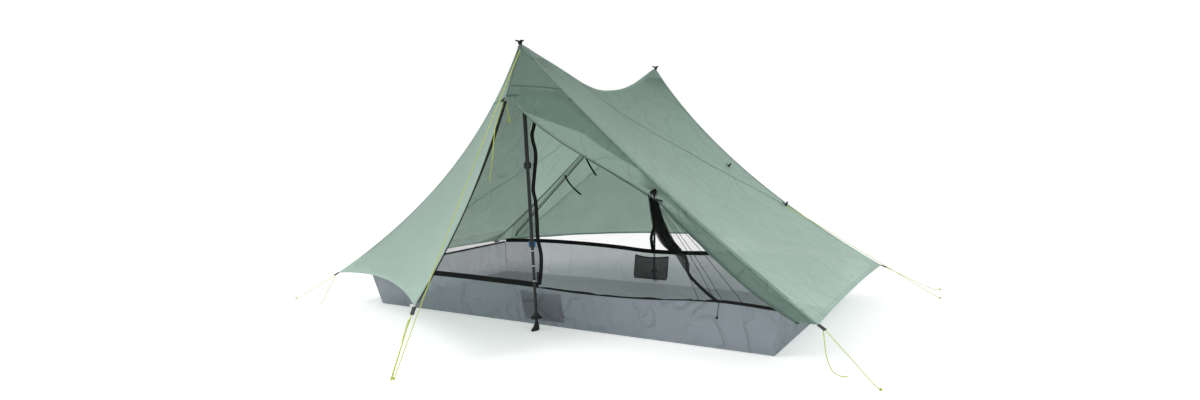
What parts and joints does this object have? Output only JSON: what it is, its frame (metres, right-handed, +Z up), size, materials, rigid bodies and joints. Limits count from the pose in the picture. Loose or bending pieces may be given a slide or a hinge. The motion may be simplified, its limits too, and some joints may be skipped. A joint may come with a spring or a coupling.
{
  "type": "trekking pole tent",
  "caption": "Two-peak ridge tent pitched on trekking poles, with a floating waterproof tub floor, mesh inner walls, zipped storm doors and guy lines.",
  "frame": {"origin": "on the ground under the middle of the floor", "axes": "+X along the floor, +Y from the open near side to the far side, +Z up"},
  "size_m": [3.232, 2.9172, 1.3009],
  "materials": {
    "fly_film": "thin translucent composite film with a faint scrim of fibres",
    "floor_film": "translucent grey composite film",
    "black_mesh": "fine knitted insect mesh",
    "black_tape": "woven zip tape and webbing",
    "lime_cord": "thin braided cord",
    "black_foam": "matt closed-cell foam",
    "black_shaft": "satin black shaft with pale length marks",
    "black_plastic": "moulded, slightly glossy",
    "blue_plastic": "moulded, satin",
    "black_rubber": "matt moulded rubber"
  },
  "bodies": {
    "tent": {"slope_left": "fly_film", "slope_right": "fly_film", "storm_door_near_left": "fly_film", "storm_door_near_right": "fly_film", "storm_door_far_right": "fly_film", "storm_zip_near": "black_tape", "storm_zip_far": "black_tape", "floor_tub": "floor_film", "pocket_near": "black_mesh", "pocket_far": "black_mesh", "mesh_near_left": "black_mesh", "mesh_near_right": "black_mesh", "mesh_far_right": "black_mesh", "mesh_end_left": "black_mesh", "mesh_end_right": "black_mesh", "mesh_zip_near": "black_tape", "mesh_zip_far": "black_tape", "near_pole_grip": "black_foam", "near_pole_upper_tube": "black_shaft", "far_pole_grip": "black_foam", "far_pole_upper_tube": "black_shaft", "buckle_near_left": "black_plastic", "buckle_near_right": "black_plastic", "buckle_far_right": "black_plastic", "buckle_far_left": "black_plastic", "buckle_near_door": "black_plastic", "buckle_far_door": "black_plastic", "near_peak_line": "lime_cord", "far_peak_line": "lime_cord", "near_door_line": "lime_cord", "far_door_line": "lime_cord", "near_left_corner_line": "lime_cord", "near_left_tail": "lime_cord", "near_right_corner_line": "lime_cord", "near_right_tail": "lime_cord", "far_right_corner_line": "lime_cord", "far_left_corner_line": "lime_cord", "right_slope_line": "lime_cord", "door_loose_line": "lime_cord"},
    "near_middle": {"near_pole_middle_tube": "black_shaft"},
    "near_lower": {"near_pole_lower_tube": "black_shaft", "near_pole_basket": "black_plastic", "near_pole_foot": "black_rubber"},
    "near_upper_lever": {"near_pole_upper_lever": "black_plastic"},
    "near_lower_lever": {"near_pole_lower_lever": "blue_plastic"},
    "far_middle": {"far_pole_middle_tube": "black_shaft"},
    "far_lower": {"far_pole_lower_tube": "black_shaft", "far_pole_basket": "black_plastic", "far_pole_foot": "black_rubber"},
    "far_upper_lever": {"far_pole_upper_lever": "black_plastic"},
    "far_lower_lever": {"far_pole_lower_lever": "blue_plastic"},
    "storm_slider_near": {"slider_storm_near": "black_plastic"},
    "storm_slider_far": {"slider_storm_far": "black_plastic"},
    "mesh_slider_near": {"slider_mesh_near": "black_plastic"},
    "mesh_slider_far": {"slider_mesh_far": "black_plastic"},
    "far_storm_door": {"storm_door_far_left": "fly_film"},
    "far_mesh_door": {"mesh_far_left": "black_mesh"},
    "toggle": {"door_toggle": "black_plastic"},
    "strap_upper": {"tie_strap_upper": "black_tape"},
    "strap_lower": {"tie_strap_lower": "black_tape"}
  },
  "joints": [
    {"name": "near_middle_slide", "type": "slide", "parent": "tent", "child": "near_middle", "axis": [-0.0077, -0.0316, 0.9995], "range_m": [0, 0.3]},
    {"name": "near_lower_slide", "type": "slide", "parent": "near_middle", "child": "near_lower", "axis": [-0.0077, -0.0316, 0.9995], "range_m": [0, 0.28]},
    {"name": "near_upper_lever_turn", "type": "hinge", "parent": "tent", "child": "near_upper_lever", "pos_m": [0.01901, -0.65518, 0.75961], "axis": [0.0077, 0.0316, -0.9995], "range_deg": [0, 110]},
    {"name": "near_lower_lever_turn", "type": "hinge", "parent": "near_middle", "child": "near_lower_lever", "pos_m": [0.02071, -0.64357, 0.3998], "axis": [0.0077, 0.0316, -0.9995], "range_deg": [0, 110]},
    {"name": "far_middle_slide", "type": "slide", "parent": "tent", "child": "far_middle", "axis": [0.0077, 0.0316, 0.9995], "range_m": [0, 0.3]},
    {"name": "far_lower_slide", "type": "slide", "parent": "far_middle", "child": "far_lower", "axis": [0.0077, 0.0316, 0.9995], "range_m": [0, 0.28]},
    {"name": "far_upper_lever_turn", "type": "hinge", "parent": "tent", "child": "far_upper_lever", "pos_m": [-0.01901, 0.65518, 0.75961], "axis": [-0.0077, -0.0316, -0.9995], "range_deg": [0, 110]},
    {"name": "far_lower_lever_turn", "type": "hinge", "parent": "far_middle", "child": "far_lower_lever", "pos_m": [-0.02071, 0.64357, 0.3998], "axis": [-0.0077, -0.0316, -0.9995], "range_deg": [0, 110]},
    {"name": "storm_slider_near_run", "type": "hinge", "parent": "tent", "child": "storm_slider_near", "pos_m": [-1.47106, -3.86812, 2.58262], "axis": [-0.9192, 0.3565, -0.1671], "range_deg": [0, 13.2]},
    {"name": "storm_slider_far_run", "type": "hinge", "parent": "tent", "child": "storm_slider_far", "pos_m": [1.55549, 4.06861, 2.61505], "axis": [-0.9193, 0.3586, 0.1621], "range_deg": [0, 12.9]},
    {"name": "mesh_slider_near_run", "type": "slide", "parent": "tent", "child": "mesh_slider_near", "axis": [0, -0.0026, 1], "range_m": [0, 0.92]},
    {"name": "mesh_slider_far_run", "type": "slide", "parent": "tent", "child": "mesh_slider_far", "axis": [0, 0.0042, 1], "range_m": [0, 0.92]},
    {"name": "far_storm_door_swing", "type": "hinge", "parent": "tent", "child": "far_storm_door", "pos_m": [-0.00774, 0.78728, 1.05151], "axis": [0.7976, 0.0441, 0.6016], "range_deg": [0, 120]},
    {"name": "far_mesh_door_swing", "type": "hinge", "parent": "tent", "child": "far_mesh_door", "pos_m": [-0.011, 0.5834, 1.205], "axis": [-0.7303, -0.0158, -0.683], "range_deg": [0, 60]},
    {"name": "toggle_turn", "type": "hinge", "parent": "tent", "child": "toggle", "pos_m": [0.63436, -0.6082, 0.6106], "axis": [0.4056, -0.7317, 0.5478], "range_deg": [-20, 60]},
    {"name": "strap_upper_swing", "type": "hinge", "parent": "tent", "child": "strap_upper", "pos_m": [-0.47212, 0.58292, 0.7865], "axis": [0.8944, 0, 0.4472], "range_deg": [0, 20]},
    {"name": "strap_lower_swing", "type": "hinge", "parent": "tent", "child": "strap_lower", "pos_m": [-0.62644, 0.58061, 0.65436], "axis": [0.8944, 0, 0.4472], "range_deg": [0, 20]}
  ]
}
